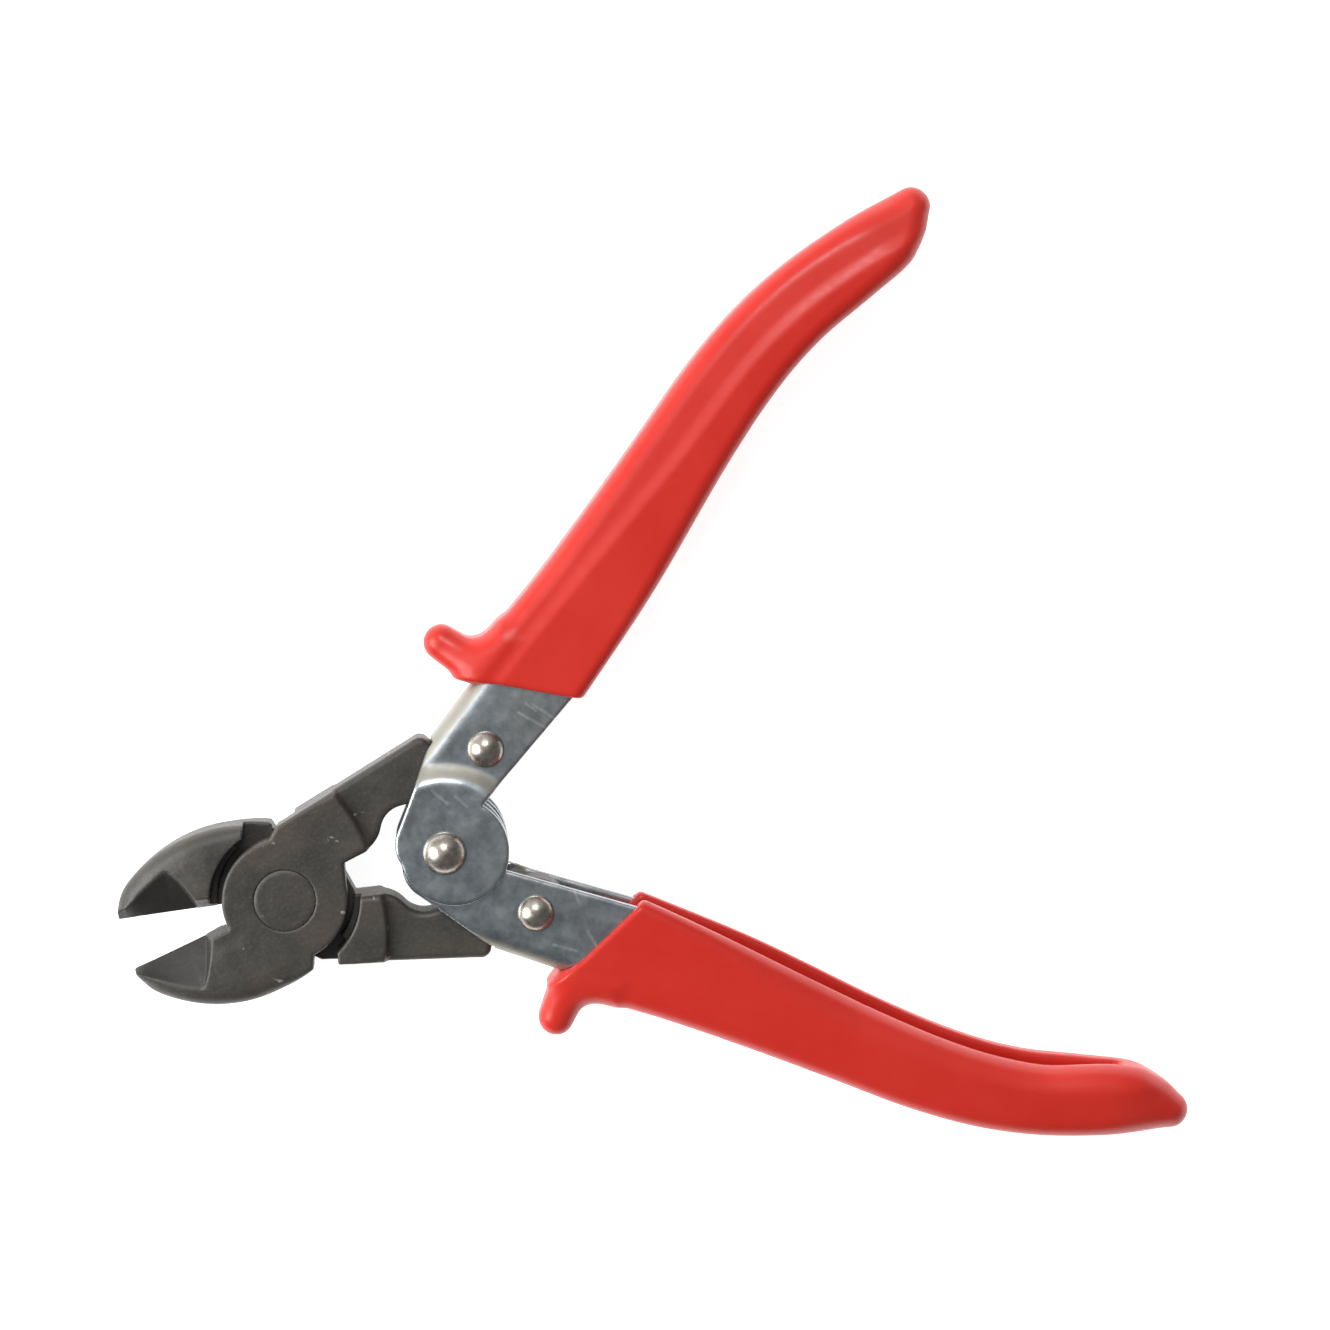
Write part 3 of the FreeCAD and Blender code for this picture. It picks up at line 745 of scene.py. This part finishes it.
def turned(name, profile, centre, material, segments=72):
    """A figure of revolution about Z through centre, from (radius, height) pairs in mm."""
    points, faces = [], []
    for radius, height in profile:
        if radius == 0.0:
            points.append((0.0, 0.0, height))
        else:
            points += [polar(radius, 360.0 * i / segments) + (height,) for i in range(segments)]
    rings = []
    start = 0
    for radius, _ in profile:
        size = 1 if radius == 0.0 else segments
        rings.append([start + i % size for i in range(segments)])
        start += size
    for below, above in zip(rings, rings[1:]):
        for i in range(segments):
            j = (i + 1) % segments
            face = [below[i], below[j], above[j], above[i]]
            faces.append(list(dict.fromkeys(face)))
    return new_object(name, points, faces, Matrix.Translation(centre), material)


def dome(head, seat, rise, steps=14):
    """Half the profile of a rivet's head, from its rim to the top of its dome."""
    rim = seat + 0.2 * rise
    top = seat + rise
    ball = (head**2 + (top - rim) ** 2) / (2.0 * (top - rim))
    reach = math.asin(min(1.0, head / ball))
    corner = 0.18
    profile = [(head - corner, seat), (head, seat + corner), (head, rim - 0.5 * corner)]
    for i in range(1, steps + 1):
        angle = reach * (1.0 - i / steps)
        profile.append((ball * math.sin(angle), top - ball + ball * math.cos(angle)))
    profile[-1] = (0.0, top)
    return profile


def add_rivet(node, body, centre, shank, head, seat, rise):
    upper = [(shank, 0.0), (shank, seat)] + dome(head, seat, rise)
    lower = [(radius, -height) for radius, height in reversed(upper[1:])]
    piece = turned(f"{node}_domed", lower + upper, centre, RIVET)
    assign(piece, node, body)


EYE_TOP = JOINT_HALF + EYE_GAP + SHEET
for side, link in (("upper", UPPER_LINK), ("lower", LOWER_LINK)):
    add_rivet(f"{side}_link_rivet", f"{side}_handle", link, 2.4, 3.25, JOINT_HALF + EYE_GAP, 2.4)
add_rivet("handle_pivot_rivet", "lower_handle", HANDLE_PIVOT, 2.9, 3.85, EYE_TOP + EYE_GAP, 3.0)


def add_flush_rivet(node, body, centre, shank, head, depth):
    """A rivet whose two flat heads lie level with the joint's faces, their rims just broken."""
    face = JOINT_HALF - 0.02
    corner = 0.06
    rings = [(radius, face) for radius in (head - corner, 4.6, 3.8, 3.0, 2.2, 1.4, 0.7, 0.0)]
    upper = [(shank, 0.0), (shank, face - depth), (head, face - depth), (head, face - corner)] + rings
    lower = [(radius, -height) for radius, height in reversed(upper[1:])]
    piece = turned(f"{node}_flush", lower + upper, centre, FORGED)
    assign(piece, node, body)


add_flush_rivet("jaw_pivot_rivet", "lower_jaw", JAW_PIVOT, 4.0, 5.47, 1.6)


def add_spacer(node, body, centre, bore, radius, half_length):
    corner = 0.25
    upper = [(bore, 0.0), (bore, half_length), (radius - corner, half_length), (radius, half_length - corner),
             (radius, 0.0)]
    lower = [(size, -height) for size, height in reversed(upper[1:-1])]
    piece = turned(f"{node}_tube", upper + lower + upper[:1], centre, RIVET)
    assign(piece, node, body)


add_spacer("pivot_spacer", "lower_handle", HANDLE_PIVOT, HANDLE_BORE, 4.6, JOINT_HALF - SHEET - EYE_GAP)


# ---- floor, light and camera ----

def add_floor():
    half = 1500.0
    corners = [(-half, -half, 0.0), (half, -half, 0.0), (half, half, 0.0), (-half, half, 0.0)]
    new_object("floor", corners, [(0, 1, 2, 3)], Matrix.Identity(4), floor_paper())


def add_light(name, place, aim, size, power):
    data = bpy.data.lights.new(name, "AREA")
    data.shape = "ELLIPSE"
    data.size, data.size_y = size
    data.energy = power
    lamp = bpy.data.objects.new(name, data)
    lamp.location = place
    lamp.rotation_euler = (Vector(aim) - Vector(place)).to_track_quat("-Z", "Y").to_euler()
    bpy.context.scene.collection.objects.link(lamp)


def add_world():
    """A dim studio, brightest high behind the tool and darkest in front of it."""
    world = bpy.data.worlds.new("studio")
    world.use_nodes = True
    tree = world.node_tree
    place = tree.nodes.new("ShaderNodeTexCoord")
    toward = tree.nodes.new("ShaderNodeVectorMath")
    toward.operation = "DOT_PRODUCT"
    toward.inputs[1].default_value = Vector((-0.25, 0.80, 0.55)).normalized()
    shade = tree.nodes.new("ShaderNodeMapRange")
    shade.interpolation_type = "SMOOTHSTEP"
    for socket, value in (("From Min", 0.30), ("From Max", 1.0), ("To Min", 0.15), ("To Max", 0.7)):
        shade.inputs[socket].default_value = value
    background = tree.nodes["Background"]
    background.inputs["Color"].default_value = (0.95, 0.98, 1.0, 1.0)
    tree.links.new(place.outputs["Generated"], toward.inputs[0])
    tree.links.new(toward.outputs["Value"], shade.inputs["Value"])
    tree.links.new(shade.outputs["Result"], background.inputs["Strength"])
    bpy.context.scene.world = world


CAMERA_TILT = (math.radians(5.68), math.radians(3.91), math.radians(16.60))
CAMERA_SHIFT = Vector((-68.34, -41.52, -601.73)) * MM


def add_camera():
    """Nearly overhead, turned so that the jaws point left and a little down."""
    data = bpy.data.cameras.new("camera")
    data.type = "PERSP"
    data.lens = 90.3
    data.sensor_width = 36.0
    turn = (Matrix.Rotation(CAMERA_TILT[0], 3, "X") @ Matrix.Rotation(CAMERA_TILT[1], 3, "Y")
            @ Matrix.Rotation(CAMERA_TILT[2], 3, "Z")).transposed()
    camera = bpy.data.objects.new("camera", data)
    camera.matrix_world = Matrix.Translation(JAW_PIVOT - turn @ CAMERA_SHIFT) @ turn.to_4x4()
    data.clip_start = 0.01
    bpy.context.scene.collection.objects.link(camera)
    bpy.context.scene.camera = camera


bpy.context.scene.view_settings.view_transform = "Standard"
add_floor()
add_world()
add_light("left_box", (-0.84, 0.26, 0.54), (0.0, 0.0, 0.0), (0.8, 0.8), 9.4)
add_light("far_box", (0.06, 0.60, 0.84), (0.0, 0.0, 0.0), (0.34, 0.30), 2.8)
add_camera()
